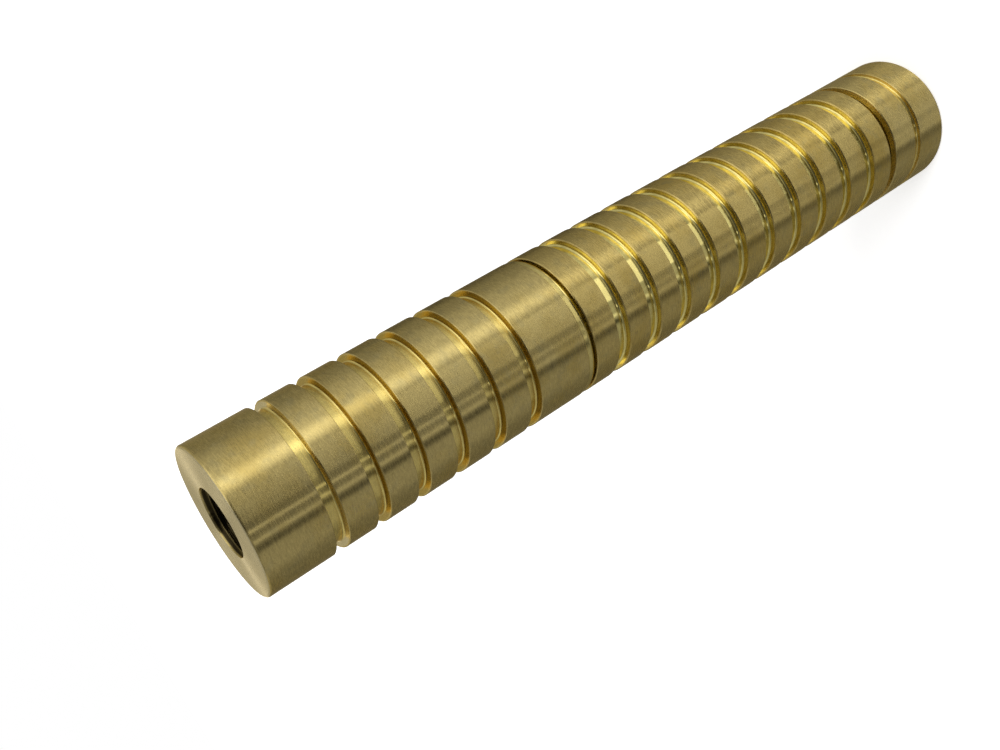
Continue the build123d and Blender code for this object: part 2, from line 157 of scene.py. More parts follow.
def cleanMesh(piece):
    # doubles merged, faces turned outwards, smooth with crisp corners
    work = bmesh.new()
    work.from_mesh(piece.data)
    bmesh.ops.remove_doubles(work, verts=work.verts, dist=weld)
    loose = [edge for edge in work.edges if not edge.link_faces]
    bmesh.ops.delete(work, geom=loose, context="EDGES")
    bmesh.ops.recalc_face_normals(work, faces=work.faces)
    for face in work.faces:
        face.smooth = True
    work.to_mesh(piece.data)
    work.free()
    piece.data.set_sharp_from_angle(angle=sharpAngle)
    return piece


def joinInto(piece, others):
    # adds the meshes of the other objects to the piece and removes those objects
    work = bmesh.new()
    work.from_mesh(piece.data)
    for other in others:
        work.from_mesh(other.data)
        bpy.data.objects.remove(other)
    work.to_mesh(piece.data)
    work.free()
    return piece


def roundCorners(corners, closed=True, steps=5):
    # corners are (radius, height, rounding) in mm; a support point beside each
    # rounding keeps the flats next to it flat in the shading
    mostShare, widestGap, gapShare = 0.46, 0.04, 0.3     # of a side, in mm, of the rounding
    points = []
    last = len(corners) - 1
    for index, (x, y, rounding) in enumerate(corners):
        here = Vector((x, y))
        if rounding == 0 or (not closed and index in (0, last)):
            points.append(here)
            continue
        before = Vector(corners[index - 1][:2]) - here
        after = Vector(corners[(index + 1) % len(corners)][:2]) - here
        half = before.angle(after) / 2
        reach = min(rounding / math.tan(half), mostShare * before.length, mostShare * after.length)
        radius = reach * math.tan(half)
        before.normalize()
        after.normalize()
        centre = here + (before + after).normalized() * radius / math.sin(half)
        start, end = before * reach + here - centre, after * reach + here - centre
        support = min(widestGap, gapShare * reach)
        points.append(here + before * (reach + support))
        sweep = start.angle(end)
        for step in range(steps + 1):
            share = step / steps
            first = math.sin((1 - share) * sweep) / math.sin(sweep)
            second = math.sin(share * sweep) / math.sin(sweep)
            points.append(centre + start * first + end * second)
        points.append(here + after * (reach + support))
    return points


def groove(middle, width, depth, foot, lip, bevel):
    # the corners of one groove, from its bevelled lower lip to its upper lip; the wider
    # rounding is at the foot of the lower wall
    low, high, floor = middle - width / 2, middle + width / 2, barrelR - depth
    soft = 0.3 * bevel
    return [(barrelR, low - bevel, soft), (barrelR - bevel, low, soft),
            (floor, low, foot), (floor, high, foot / 3), (barrelR, high, lip)]


def makeTurnTree():
    # turns an outline of points in the XZ plane round Z, as a grid of columns and rows
    tree, given = newTree("turnedOutline", [
        ("Outline", "Object"), ("Segments", "Int"), ("Closed", "Int"), ("Material", "Material")])
    outline = addNode(tree, "GeometryNodeObjectInfo", {"Object": given["Outline"]})
    size = addNode(tree, "GeometryNodeAttributeDomainSize", {0: outline.outputs["Geometry"]})
    count = size.outputs["Point Count"]
    rows = calc(tree, "ADD", count, given["Closed"])
    columns = calc(tree, "ADD", given["Segments"], 1.0)
    grid = addNode(tree, "GeometryNodeMeshGrid", {"Vertices X": columns, "Vertices Y": rows})
    index = tree.nodes.new("GeometryNodeInputIndex").outputs[0]
    column = calc(tree, "FLOOR", calc(tree, "DIVIDE", calc(tree, "ADD", index, 0.5), rows))
    row = calc(tree, "MODULO", calc(tree, "MODULO", index, rows), count)
    place = tree.nodes.new("GeometryNodeInputPosition").outputs[0]
    sample = addNode(tree, "GeometryNodeSampleIndex", data_type="FLOAT_VECTOR")
    tree.links.new(outline.outputs["Geometry"], sample.inputs[0])
    tree.links.new(place, sample.inputs["Value"])
    tree.links.new(row, sample.inputs["Index"])
    parts = addNode(tree, "ShaderNodeSeparateXYZ", {0: sample.outputs[0]}).outputs
    turn = times(tree, calc(tree, "DIVIDE", column, given["Segments"]), math.tau)
    moved = placeRound(tree, grid.outputs["Mesh"], parts["X"], turn, parts["Z"])
    closed = addNode(tree, "GeometryNodeMergeByDistance", {"Geometry": moved, "Distance": weld})
    endTree(tree, closed.outputs[0], given["Material"])
    return tree


def makeThreadTree():
    # a right-handed ridge of trapezoid section that runs out to a point at both ends
    tree, given = newTree("screwThread", [
        ("Root Radius", "Float"), ("Crest Radius", "Float"), ("Root Width", "Float"),
        ("Crest Width", "Float"), ("Low", "Float"), ("Pitch", "Float"), ("Turns", "Float"),
        ("Run Out", "Float"), ("Start", "Float"), ("Steps", "Int"), ("Material", "Material")])
    columns = calc(tree, "ADD", given["Steps"], 1.0)
    grid = addNode(tree, "GeometryNodeMeshGrid", {"Vertices X": columns, "Vertices Y": 5})
    index = tree.nodes.new("GeometryNodeInputIndex").outputs[0]
    column = calc(tree, "FLOOR", calc(tree, "DIVIDE", calc(tree, "ADD", index, 0.5), 5.0))
    row = calc(tree, "MODULO", calc(tree, "MODULO", index, 5.0), 4.0)
    onCrest = calc(tree, "COMPARE", row, 1.5, 0.6)
    upper = calc(tree, "GREATER_THAN", row, 1.5)
    side = calc(tree, "SUBTRACT", times(tree, upper, 2.0), 1.0)
    share = calc(tree, "DIVIDE", column, given["Steps"])
    fromEnd = calc(tree, "MINIMUM", share, calc(tree, "SUBTRACT", 1.0, share))
    grown = calc(tree, "DIVIDE", times(tree, fromEnd, given["Turns"]), given["Run Out"], clamp=True)
    rise = calc(tree, "SUBTRACT", given["Crest Radius"], given["Root Radius"])
    radius = calc(tree, "MULTIPLY_ADD", times(tree, rise, onCrest), grown, given["Root Radius"])
    slim = calc(tree, "SUBTRACT", given["Crest Width"], given["Root Width"])
    width = calc(tree, "MULTIPLY_ADD", slim, onCrest, given["Root Width"])
    offset = times(tree, times(tree, width, 0.5), side)
    climb = times(tree, times(tree, share, given["Turns"]), given["Pitch"])
    height = calc(tree, "ADD", given["Low"], calc(tree, "MULTIPLY_ADD", offset, grown, climb))
    turned = calc(tree, "MULTIPLY_ADD", share, given["Turns"], given["Start"])
    turn = times(tree, turned, math.tau)
    moved = placeRound(tree, grid.outputs["Mesh"], radius, turn, height)
    endTree(tree, moved, given["Material"])
    return tree


def makeCoilTree():
    # a compression spring: dead turns lie on each other at both ends
    tree, given = newTree("coilSpring", [
        ("Low Radius", "Float"), ("High Radius", "Float"), ("Low", "Float"), ("High", "Float"),
        ("Turns", "Float"), ("Dead Turns", "Float"), ("Wire Radius", "Float"), ("Steps", "Int"),
        ("Sides", "Int"), ("Material", "Material")])
    count = calc(tree, "ADD", given["Steps"], 1.0)
    line = addNode(tree, "GeometryNodeMeshLine", {"Count": count})
    path = addNode(tree, "GeometryNodeMeshToCurve", {0: line.outputs[0]})
    index = tree.nodes.new("GeometryNodeInputIndex").outputs[0]
    share = calc(tree, "DIVIDE", index, given["Steps"])
    turned = times(tree, share, given["Turns"])
    wire = times(tree, given["Wire Radius"], 2.0)
    ends = times(tree, given["Dead Turns"], 2.0)
    alive = calc(tree, "SUBTRACT", given["Turns"], ends)
    height = calc(tree, "SUBTRACT", calc(tree, "SUBTRACT", given["High"], given["Low"]), wire)
    free = calc(tree, "SUBTRACT", height, times(tree, ends, wire))
    pitch = calc(tree, "DIVIDE", free, alive)
    upper = calc(tree, "ADD", given["Dead Turns"], alive)
    inDeadLow = calc(tree, "MINIMUM", turned, given["Dead Turns"])
    inFree = calc(tree, "SUBTRACT", calc(tree, "MINIMUM", turned, upper), inDeadLow)
    inDeadHigh = calc(tree, "SUBTRACT", turned, calc(tree, "ADD", inDeadLow, inFree))
    dead = times(tree, calc(tree, "ADD", inDeadLow, inDeadHigh), wire)
    climb = calc(tree, "MULTIPLY_ADD", inFree, pitch, dead)
    z = calc(tree, "ADD", calc(tree, "ADD", given["Low"], given["Wire Radius"]), climb)
    widen = calc(tree, "SUBTRACT", given["High Radius"], given["Low Radius"])
    outer = calc(tree, "MULTIPLY_ADD", share, widen, given["Low Radius"])
    radius = calc(tree, "SUBTRACT", outer, given["Wire Radius"])
    turn = times(tree, turned, math.tau)
    moved = placeRound(tree, path.outputs[0], radius, turn, z)
    section = addNode(tree, "GeometryNodeCurvePrimitiveCircle", {
        "Resolution": given["Sides"], "Radius": given["Wire Radius"]}, mode="RADIUS")
    swept = addNode(tree, "GeometryNodeCurveToMesh", {
        "Curve": moved, "Profile Curve": section.outputs[0], "Fill Caps": True})
    endTree(tree, swept.outputs[0], given["Material"])
    return tree


turnTree, threadTree, coilTree = makeTurnTree(), makeThreadTree(), makeCoilTree()
threadForm = {"rootShare": 0.875, "crestShare": 0.16}     # widths of a ridge, in pitches


def turnedPiece(name, outline, material, segments=192, closed=True):
    # outline: points (radius, height) in mm, turned round Z
    edges = [(i, i + 1) for i in range(len(outline) - 1)]
    mesh = bpy.data.meshes.new(name + "Outline")
    mesh.from_pydata([(point[0] * mm, 0, point[1] * mm) for point in outline], edges, [])
    guide = addObject(name + "Outline", mesh)
    made = bakeTree(name, turnTree, {
        "Outline": guide, "Segments": segments, "Closed": int(closed), "Material": material})
    bpy.data.objects.remove(guide)
    return cleanMesh(made)


def threadPiece(name, root, crest, low, high, pitch, material, start=0.0, steps=64, runOut=0.35):
    # heights are the lowest and highest points of the ridge
    rootWidth, crestWidth = threadForm["rootShare"] * pitch, threadForm["crestShare"] * pitch
    turns = (high - low) / pitch
    made = bakeTree(name, threadTree, {
        "Root Radius": root * mm, "Crest Radius": crest * mm, "Root Width": rootWidth * mm,
        "Crest Width": crestWidth * mm, "Low": low * mm, "Pitch": pitch * mm, "Turns": turns,
        "Run Out": runOut, "Start": start, "Steps": int(steps * turns), "Material": material})
    return cleanMesh(made)


def coilPiece(name, node, wireR, turns, material, deadTurns=1.0, highR=None, steps=28):
    # the radius and the height come from the node that the spring stands for
    outer, low, high = nodeSpan(node)
    made = bakeTree(name, coilTree, {
        "Low Radius": outer * mm, "High Radius": (highR or outer) * mm, "Low": low * mm,
        "High": high * mm, "Turns": turns, "Dead Turns": deadTurns, "Wire Radius": wireR * mm,
        "Steps": int(turns * steps), "Sides": 12, "Material": material})
    return cleanMesh(made)


def newMaterial(name, colour, metallic=0.0, roughness=0.5, **constants):
    made = bpy.data.materials.new(name)
    made.use_nodes = True
    tree = made.node_tree
    shader = tree.nodes["Principled BSDF"]
    shader.inputs["Base Color"].default_value = (*colour, 1)
    shader.inputs["Metallic"].default_value = metallic
    shader.inputs["Roughness"].default_value = roughness
    for socket, value in constants.items():
        shader.inputs[socket.replace("_", " ")].default_value = value
    made.diffuse_color = (*colour, 1)
    return made, tree, shader


def mixColours(tree, share, first, second, blend="MIX"):
    mixed = addNode(tree, "ShaderNodeMix", {0: share}, data_type="RGBA", blend_type=blend)
    for key, value in ((6, first), (7, second)):
        if isinstance(value, bpy.types.NodeSocket):
            tree.links.new(value, mixed.inputs[key])
        else:
            mixed.inputs[key].default_value = (*value, 1)
    return mixed.outputs[2]


def ramp(tree, value, low, high, start=0.0, end=1.0):
    node = addNode(tree, "ShaderNodeMapRange", {
        "Value": value, "From Min": low, "From Max": high, "To Min": start, "To Max": end},
        interpolation_type="SMOOTHSTEP")
    return node.outputs[0]


def noise(tree, place, scale, detail, roughness=0.5):
    return addNode(tree, "ShaderNodeTexNoise", {
        "Vector": place, "Scale": scale, "Detail": detail, "Roughness": roughness}).outputs[0]


def addBump(tree, shader, height, strength, distance):
    bump = addNode(tree, "ShaderNodeBump", {
        "Height": height, "Strength": strength, "Distance": distance})
    tree.links.new(bump.outputs[0], shader.inputs["Normal"])


def split(tree, vector):
    return addNode(tree, "ShaderNodeSeparateXYZ", {0: vector}).outputs


def axisRadius(tree, place):
    square = times(tree, place[1], place[1])
    return calc(tree, "SQRT", calc(tree, "MULTIPLY_ADD", place[0], place[0], square))


# the screw joints between the shells; crests are the radii that the turns reach to
screw = {
    "spigot": 10.95, "core": 10.35, "bore": 11.0, "sealFloor": 10.15, "cellBore": 9.5,
    "pitch": 1.0, "sealWidth": 1.2, "setback": 0.7, "shoulder": 0.5, "lead": 0.4,
    "sealEdge": 0.08, "innerCrest": 10.47, "outerCrest": 10.93, "sink": 0.02, "runIn": 0.2,
    "runOut": 0.6, "mouthLead": 0.3, "mouthEdge": 0.05,
}
# the bead is the thin lip at the head's foot; it slopes away to the seam
headSizes = {
    "grooves": 6, "pitch": 7.24, "first": 12.15, "width": 2.2, "depth": 1.4, "foot": 0.4,
    "lip": 0.12, "bevel": 0.1, "frontEdge": 0.42, "beadStep": 0.07, "beadLength": 1.2,
    "beadSlope": 0.42, "beadDrop": 0.17, "beadRound": 0.4, "beadEdge": 0.03, "stepHalf": 0.06,
    "stepSoft": (0.08, 0.12), "webBore": 4.5, "housingBore": 9.55, "housingTop": 115.02,
    "moduleRoom": 0.02, "flangeTop": 103.97, "threadLow": 97.3, "threadHigh": 102.6,
    "frontPitch": 0.75, "frontLow": 152.3, "frontHigh": 154.65, "frontRise": 0.32,
    "frontLead": (0.06, 0.12), "frontSoft": 0.08, "ringRoom": 0.05, "windowRoom": 0.1,
}

brass = {
    "colour": (0.68, 0.535, 0.205),
    "warm": (0.66, 0.49, 0.15),
    "olive": (0.56, 0.46, 0.20),
    "edge": (0.95, 0.85, 0.6),
    "tarnish": (0.16, 0.085, 0.025),
    # painted shade in the front bore
    "black": (0.02, 0.014, 0.008),
    "tubeFloorTone": (0.93, 0.795, 0.29),    # lighter metal painted on the floors of the tube's grooves
    "gold": (0.93, 0.74, 0.24),      # and of the head's
    "gripTone": (1.0, 0.975, 0.89),  # the tube is a little redder than the head
    "headWallShade": (0.38, 0.25, 0.025),    # painted shade on the walls of the head's grooves
    "frontWallLight": (0.72, 0.63, 0.36),     # painted light on the walls of the front groove
    "film": (0.30, 0.26, 0.08),      # painted shade on the walls of the tube's and cap's grooves and on the seam floors
    "face": (0.77, 0.67, 0.41),      # greyer metal of the front face, also painted lighter for the reflection it catches
    # patterns, in cells per metre; a mix holds the limits of a ramp and the values at its ends
    "streakLength": 800,     # round the barrel
    "streakWidth": 4800,     # across the turning lines
    "streakDepth": 0.14,
    "stainSize": 95.0,
    "stainMix": (0.42, 0.68, 0.0, 0.8),
    "patchSize": 420.0,
    "patchMix": (0.5, 0.72, 0.0, 0.6),
    "grain": 3800,
    "grainMix": (0.3, 0.7, 0.95, 1.05),
    "speckSize": 2300,
    "speckMix": (0.05, 0.16, 1.0, 0.0),
    "speckShare": 0.86,      # of the specks, those below this stay plain metal
    # places, in mm
    "grooveStart": 0.2,      # a groove's tone begins this far below the barrel's surface,
    "grooveFull": 0.38,      # is full here
    "grooveReach": 1.6,      # and ends here
    "endClear": 2,           # both ends keep the plain tone
    "faceDepth": 0.5,
    "frontReach": 2,         # behind the middle of the front groove
    "seamReach": 0.08,
    "boreReach": 0.1,
    "boreShadeStart": (0.14, 0.4),
    "boreShadeDepth": 11,        # the painted bore shade reaches this far behind the window
    "crestHeight": (0.2, 0.28),
    "crestFade": (2.2, 1.0),
    # which way a surface faces, as the share along the axis
    "endTilt": 0.72,
    "wallTilt": (0.82, 0.98),
    "curveStart": (0.06, 0.2),
    "curveEnd": (0.98, 0.85),
    # shares of the tones
    "faceShare": 0.9,
    "floorShare": 0.9,
    "beadShare": 0.5,
    "pitShare": 0.7,
    "seamShare": 0.6,
    "wallShadeShare": 0.12,
    "headWallShadeShare": 0.75,
    "boreShadeShare": 0.95,
    "crestShare": 0.25,      # what the crests near the mouth of the front thread take off the painted bore shade, as painted light on them
    # roughness and relief
    "roughness": 0.26,
    "anisotropy": 1.0,
    "polish": 0.13,          # floors of the tube's round grooves
    "satin": 0.24,           # floors of the head's square grooves
    "nose": 0.12,            # roundings at their feet
    "shine": 0.08,           # smoothest that the metal gets
    "beadRough": 0.07,
    "streakRough": (0.25, 0.75, -0.03, 0.04),
    "stainRough": (0.4, 0.7, -0.02, 0.04),
    "pitRough": 0.25,
    "pitDepth": 1.2,
    "bump": 0.00002,
    "bumpShare": 0.26,
    "grooveBump": 0.18,      # what a groove takes off the strength of the bump
}


def makeTurnedBrass(name, look):
    made, tree, shader = newMaterial(name, look["colour"], 1.0, look["roughness"],
                                     Anisotropic=look["anisotropy"], Anisotropic_Rotation=0.25)
    shader.inputs["Specular Tint"].default_value = (*look["edge"], 1)
    coords = tree.nodes.new("ShaderNodeTexCoord")
    where = coords.outputs["Object"]
    place = split(tree, where)
    radius = axisRadius(tree, place)
    tilt = calc(tree, "ABSOLUTE", split(tree, coords.outputs["Normal"])[2])
    endFace = calc(tree, "GREATER_THAN", tilt, look["endTilt"])
    # turning lines run round the axis: they step along z on walls and along the radius on faces
    across = calc(tree, "MULTIPLY_ADD", endFace, calc(tree, "SUBTRACT", radius, place[2]), place[2])
    around = [times(tree, place[i], look["streakLength"]) for i in (0, 1)]
    brushed = addNode(tree, "ShaderNodeCombineXYZ", {
        0: around[0], 1: around[1], 2: times(tree, across, look["streakWidth"])})
    streaks = noise(tree, brushed.outputs[0], 1.0, 3.0, 0.62)
    stains = noise(tree, where, look["stainSize"], 4.0, 0.6)
    patches = noise(tree, where, look["patchSize"], 3.0, 0.55)
    specks = addNode(tree, "ShaderNodeTexVoronoi", {
        "Vector": where, "Scale": look["speckSize"], "Randomness": 1.0})
    chosen = split(tree, specks.outputs["Color"])[0]
    pits = times(tree, ramp(tree, specks.outputs["Distance"], *look["speckMix"]),
                 calc(tree, "GREATER_THAN", chosen, look["speckShare"]))

    tinted = mixColours(tree, ramp(tree, stains, *look["stainMix"]), look["colour"], look["warm"])
    tinted = mixColours(tree, ramp(tree, patches, *look["patchMix"]), tinted, look["olive"])
    grain = noise(tree, where, look["grain"], 2.0)
    lines = ramp(tree, streaks, 0.3, 0.7, 1 - look["streakDepth"], 1 + look["streakDepth"])
    lines = times(tree, lines, ramp(tree, grain, *look["grainMix"]))
    # the front face takes a greyer metal, also painted lighter for the reflection it catches
    onFace = times(tree, endFace, beyond(tree, place[2], headHigh - look["faceDepth"]))
    tinted = mixColours(tree, times(tree, onFace, look["faceShare"]), tinted, look["face"])
    # lighter metal is painted on the groove floors; painted shade on their steep walls and on the
    # seam floors
    deep = ramp(tree, radius, (barrelR - look["grooveStart"]) * mm,
                (barrelR - look["grooveFull"]) * mm)
    outside = beyond(tree, radius, barrelR - look["grooveReach"])
    between = times(tree, beyond(tree, place[2], look["endClear"]),
                    within(tree, place[2], headHigh - look["endClear"]))
    halfBead, beadTop = headSizes["beadLength"] / 2, headLow + headSizes["beadLength"]
    onBead = calc(tree, "COMPARE", place[2], (headLow + halfBead) * mm, halfBead * mm)
    inGroove = times(tree, calc(tree, "MAXIMUM", deep, onBead), times(tree, outside, between))
    onTube = times(tree, beyond(tree, place[2], tubeBottom), within(tree, place[2], beadTop))
    onHead = beyond(tree, place[2], beadTop)
    redder = mixColours(tree, 1.0, tinted, look["gripTone"], "MULTIPLY")
    tinted = mixColours(tree, onTube, tinted, redder)
    # lighter metal painted on the groove floors and the bead
    floorTone = mixColours(tree, onTube, look["gold"], look["tubeFloorTone"])
    floorMix = calc(tree, "MULTIPLY_ADD", onBead, look["beadShare"] - look["floorShare"],
                   look["floorShare"])
    tinted = mixColours(tree, times(tree, inGroove, floorMix), tinted, floorTone)
    shade = addNode(tree, "ShaderNodeCombineXYZ", {0: lines, 1: lines, 2: lines})
    tinted = mixColours(tree, 1.0, tinted, shade.outputs[0], "MULTIPLY")
    tinted = mixColours(tree, times(tree, pits, look["pitShare"]), tinted, look["tarnish"])
    # painted shade on the steep walls of the tube's and cap's grooves and on the seam floors between
    # the shells
    wall = times(tree, inGroove, ramp(tree, tilt, *look["wallTilt"]))
    seamFloor = times(tree, inGroove, within(tree, radius, screw["spigot"] + look["seamReach"]))
    paintedShade = calc(tree, "MAXIMUM", times(tree, seamFloor, look["seamShare"]),
                times(tree, wall, look["wallShadeShare"]))
    paintedShade = times(tree, paintedShade, calc(tree, "SUBTRACT", 1.0, onHead))
    tinted = mixColours(tree, paintedShade, tinted, look["film"])
    # painted light on the walls of the front groove
    inFront = beyond(tree, place[2], headHigh - headSizes["first"] - look["frontReach"])
    tinted = mixColours(tree, times(tree, wall, inFront), tinted, look["frontWallLight"])
    # painted shade on the walls of the head's other grooves
    further = calc(tree, "SUBTRACT", onHead, inFront, clamp=True)
    headWallShade = times(tree, times(tree, wall, further), look["headWallShadeShare"])
    tinted = mixColours(tree, headWallShade, tinted, look["headWallShade"])
    # painted shade in the front bore, from behind its first turn of thread down to the lens; the
    # crests near the mouth are painted lighter, as if lit
    boreShadeMask = times(tree, within(tree, radius, frontThreadR + look["boreReach"]),
                  ramp(tree, place[2], *((headHigh - depth) * mm for depth in look["boreShadeStart"])))
    boreShadeMask = times(tree, boreShadeMask, beyond(tree, place[2], windowLow - look["boreShadeDepth"]))
    boreShade = times(tree,
                 ramp(tree, radius, *((frontThreadR - rise) * mm for rise in look["crestHeight"])),
                 ramp(tree, place[2], *((headHigh - depth) * mm for depth in look["crestFade"])))
    boreShade = calc(tree, "MULTIPLY_ADD", boreShade, -look["crestShare"], look["boreShadeShare"])
    tinted = mixColours(tree, times(tree, boreShadeMask, boreShade), tinted, look["black"])
    tree.links.new(tinted, shader.inputs["Base Color"])

    smooth = calc(tree, "MULTIPLY_ADD", onTube, look["polish"] - look["satin"], look["satin"])
    # the roundings at the grooves' feet and on the bead shine more
    curved = times(tree, ramp(tree, tilt, *look["curveStart"]), ramp(tree, tilt, *look["curveEnd"]))
    smooth = calc(tree, "MULTIPLY_ADD", curved, look["nose"] - look["satin"], smooth)
    smooth = calc(tree, "MAXIMUM", smooth, look["shine"])
    beadFlat = calc(tree, "SUBTRACT", onBead, curved, clamp=True)
    smooth = calc(tree, "MULTIPLY_ADD", beadFlat, look["beadRough"], smooth)
    plain = addNode(tree, "ShaderNodeMix", {0: inGroove, 2: look["roughness"], 3: smooth}).outputs[0]
    rough = calc(tree, "ADD", ramp(tree, streaks, *look["streakRough"]), plain)
    rough = calc(tree, "ADD", rough, ramp(tree, stains, *look["stainRough"]))
    rough = calc(tree, "ADD", rough, times(tree, pits, look["pitRough"]))
    tree.links.new(rough, shader.inputs["Roughness"])
    relief = calc(tree, "SUBTRACT", streaks, times(tree, pits, look["pitDepth"]))
    strength = calc(tree, "MULTIPLY_ADD", inGroove, -look["grooveBump"], look["bumpShare"])
    addBump(tree, shader, relief, strength, look["bump"])
    tangent = addNode(tree, "ShaderNodeTangent", direction_type="RADIAL", axis="Z")
    tree.links.new(tangent.outputs[0], shader.inputs["Tangent"])
    return made


mottle = {
    "fineMix": (0.35, 0.7), "broadSize": 0.12, "broadMix": (0.3, 0.7, 0.4, 1.0),
    "roughMix": (0.3, 0.7, -0.05, 0.07), "bumpShare": 0.4,
}


def makeSpeckled(name, colour, darker, scale, metallic=0.0, roughness=0.5, bump=0.00001,
                 **constants):
    # a plain surface with fine mottling, for moulded, painted and drawn pieces
    made, tree, shader = newMaterial(name, colour, metallic, roughness, **constants)
    place = tree.nodes.new("ShaderNodeTexCoord").outputs["Object"]
    fine = noise(tree, place, scale, 4.0, 0.6)
    broad = noise(tree, place, scale * mottle["broadSize"], 2.0)
    share = times(tree, ramp(tree, fine, *mottle["fineMix"]),
                  ramp(tree, broad, *mottle["broadMix"]))
    tree.links.new(mixColours(tree, share, colour, darker), shader.inputs["Base Color"])
    rough = calc(tree, "ADD", ramp(tree, fine, *mottle["roughMix"]), roughness)
    tree.links.new(rough, shader.inputs["Roughness"])
    addBump(tree, shader, fine, mottle["bumpShare"], bump)
    return made


turnedBrass = makeTurnedBrass("turnedBrass", brass)
innerLook = dict(brass, colour=(0.70, 0.55, 0.24), streakLength=220, roughness=0.22, bump=0.00001)
innerBrass = makeTurnedBrass("machinedBrass", innerLook)
blackAnodised = makeSpeckled("blackAnodised", (0.02, 0.02, 0.022), (0.03, 0.03, 0.03), 6000,
                             roughness=0.42)
bootRubber = makeSpeckled("bootRubber", (0.022, 0.022, 0.022), (0.04, 0.04, 0.04), 5000,
                          roughness=0.62, bump=0.00003)
sealRubber = makeSpeckled("sealRubber", (0.014, 0.014, 0.014), (0.03, 0.03, 0.03), 5000,
                          roughness=0.38)
switchPlastic = makeSpeckled("switchPlastic", (0.04, 0.04, 0.045), (0.06, 0.06, 0.065), 7000,
                             roughness=0.5)
plungerPlastic = makeSpeckled("plungerPlastic", (0.72, 0.70, 0.64), (0.62, 0.60, 0.54), 6000,
                              roughness=0.45)
contactMetal = makeSpeckled("platedContact", (0.76, 0.69, 0.5), (0.66, 0.58, 0.38), 5000,
                            metallic=1.0, roughness=0.25)
springSteel = makeSpeckled("springSteel", (0.56, 0.56, 0.57), (0.42, 0.42, 0.43), 4000,
                           metallic=1.0, roughness=0.28)
circuitBoard = makeSpeckled("circuitBoard", (0.02, 0.13, 0.055), (0.03, 0.17, 0.075), 3000,
                            roughness=0.28)
inductorBody = makeSpeckled("inductorBody", (0.08, 0.08, 0.085), (0.12, 0.12, 0.12), 5000,
                            roughness=0.7, bump=0.00003)
chipBody = makeSpeckled("chipBody", (0.03, 0.03, 0.033), (0.05, 0.05, 0.05), 8000, roughness=0.55)
capacitorBody = makeSpeckled("capacitorBody", (0.42, 0.3, 0.17), (0.36, 0.25, 0.14), 4000,
                             roughness=0.35)
leadRed = makeSpeckled("leadRed", (0.5, 0.025, 0.015), (0.42, 0.02, 0.012), 3000, roughness=0.35)
leadBlack = makeSpeckled("leadBlack", (0.02, 0.02, 0.02), (0.035, 0.035, 0.035), 3000,
                         roughness=0.35)
goldPlate = makeSpeckled("goldPlate", (0.83, 0.66, 0.3), (0.72, 0.55, 0.22), 5000, metallic=1.0,
                         roughness=0.2)
coatedGlass = makeSpeckled("coatedGlass", (0.86, 0.93, 0.95), (0.83, 0.90, 0.94), 900,
                           roughness=0.05, bump=0.0000004, Transmission_Weight=1.0, IOR=1.52)
print("finishes made")

tubeSizes = {
    "grooves": 10, "pitch": 7.18, "width": 2.5, "depth": 1.25, "foot": 0.95, "lip": 0.12,
    "bevel": 0.16, "edge": 0.2,
}
capSizes = {
    "middle": 8.1, "width": 1.6, "depth": 0.75, "foot": 0.55, "lip": 0.12, "bevel": 0.1,
    "edge": 0.2, "rim": 0.5, "recess": 7.6, "recessDepth": 2.0, "web": 3.2, "hole": 4.65,
    "recessEdge": 0.4, "threadLow": 5.0, "threadHigh": 12.9,
}


def makeHead():
    s, top = headSizes, headHigh
    moduleR, _, moduleTop = nodeSpan("module_front")
    moduleBore = moduleR + s["moduleRoom"]
    bead, step = barrelR - s["beadStep"], headLow + s["beadLength"]
    ringBore, windowBore = ringR + s["ringRoom"], windowR + s["windowRoom"]
    leadOut, leadDown = s["frontLead"]
    corners = [
        (screw["bore"] + screw["mouthLead"], headLow, screw["mouthEdge"]),
        (bead - s["beadDrop"], headLow, s["beadEdge"]),
        (bead, headLow + s["beadSlope"], s["beadRound"]),
        (bead, step - s["stepHalf"], s["stepSoft"][0]),
        (barrelR, step + s["stepHalf"], s["stepSoft"][1]),
    ]
    for index in reversed(range(s["grooves"])):
        middle = top - s["first"] - index * s["pitch"]
        corners += groove(middle, s["width"], s["depth"], s["foot"], s["lip"], s["bevel"])
    corners += [
        (barrelR, top, s["frontEdge"]), (frontThreadR + leadOut, top, s["frontSoft"]),
        (frontThreadR, top - leadDown, 0), (frontThreadR, ringHigh, 0), (ringBore, ringHigh, 0),
        (ringBore, ringLow, 0), (windowBore, ringLow, 0), (windowBore, windowLow, 0),
        (s["webBore"], windowLow, 0), (s["webBore"], moduleTop, 0), (moduleBore, moduleTop, 0),
        (moduleBore, s["housingTop"], 0), (s["housingBore"], s["housingTop"], 0),
        (s["housingBore"], s["flangeTop"], 0), (screw["bore"], s["flangeTop"], 0),
        (screw["bore"], headLow + screw["mouthLead"], 0),
    ]
    shell = turnedPiece("headShell", roundCorners(corners), turnedBrass)
    inner = threadPiece("headThread", screw["bore"] + screw["sink"], screw["innerCrest"],
                        s["threadLow"], s["threadHigh"], screw["pitch"], turnedBrass, start=0.5)
    front = threadPiece("frontThread", frontThreadR + screw["sink"], frontThreadR - s["frontRise"],
                        s["frontLow"], s["frontHigh"], s["frontPitch"], turnedBrass, steps=96)
    return joinInto(shell, [inner, front])


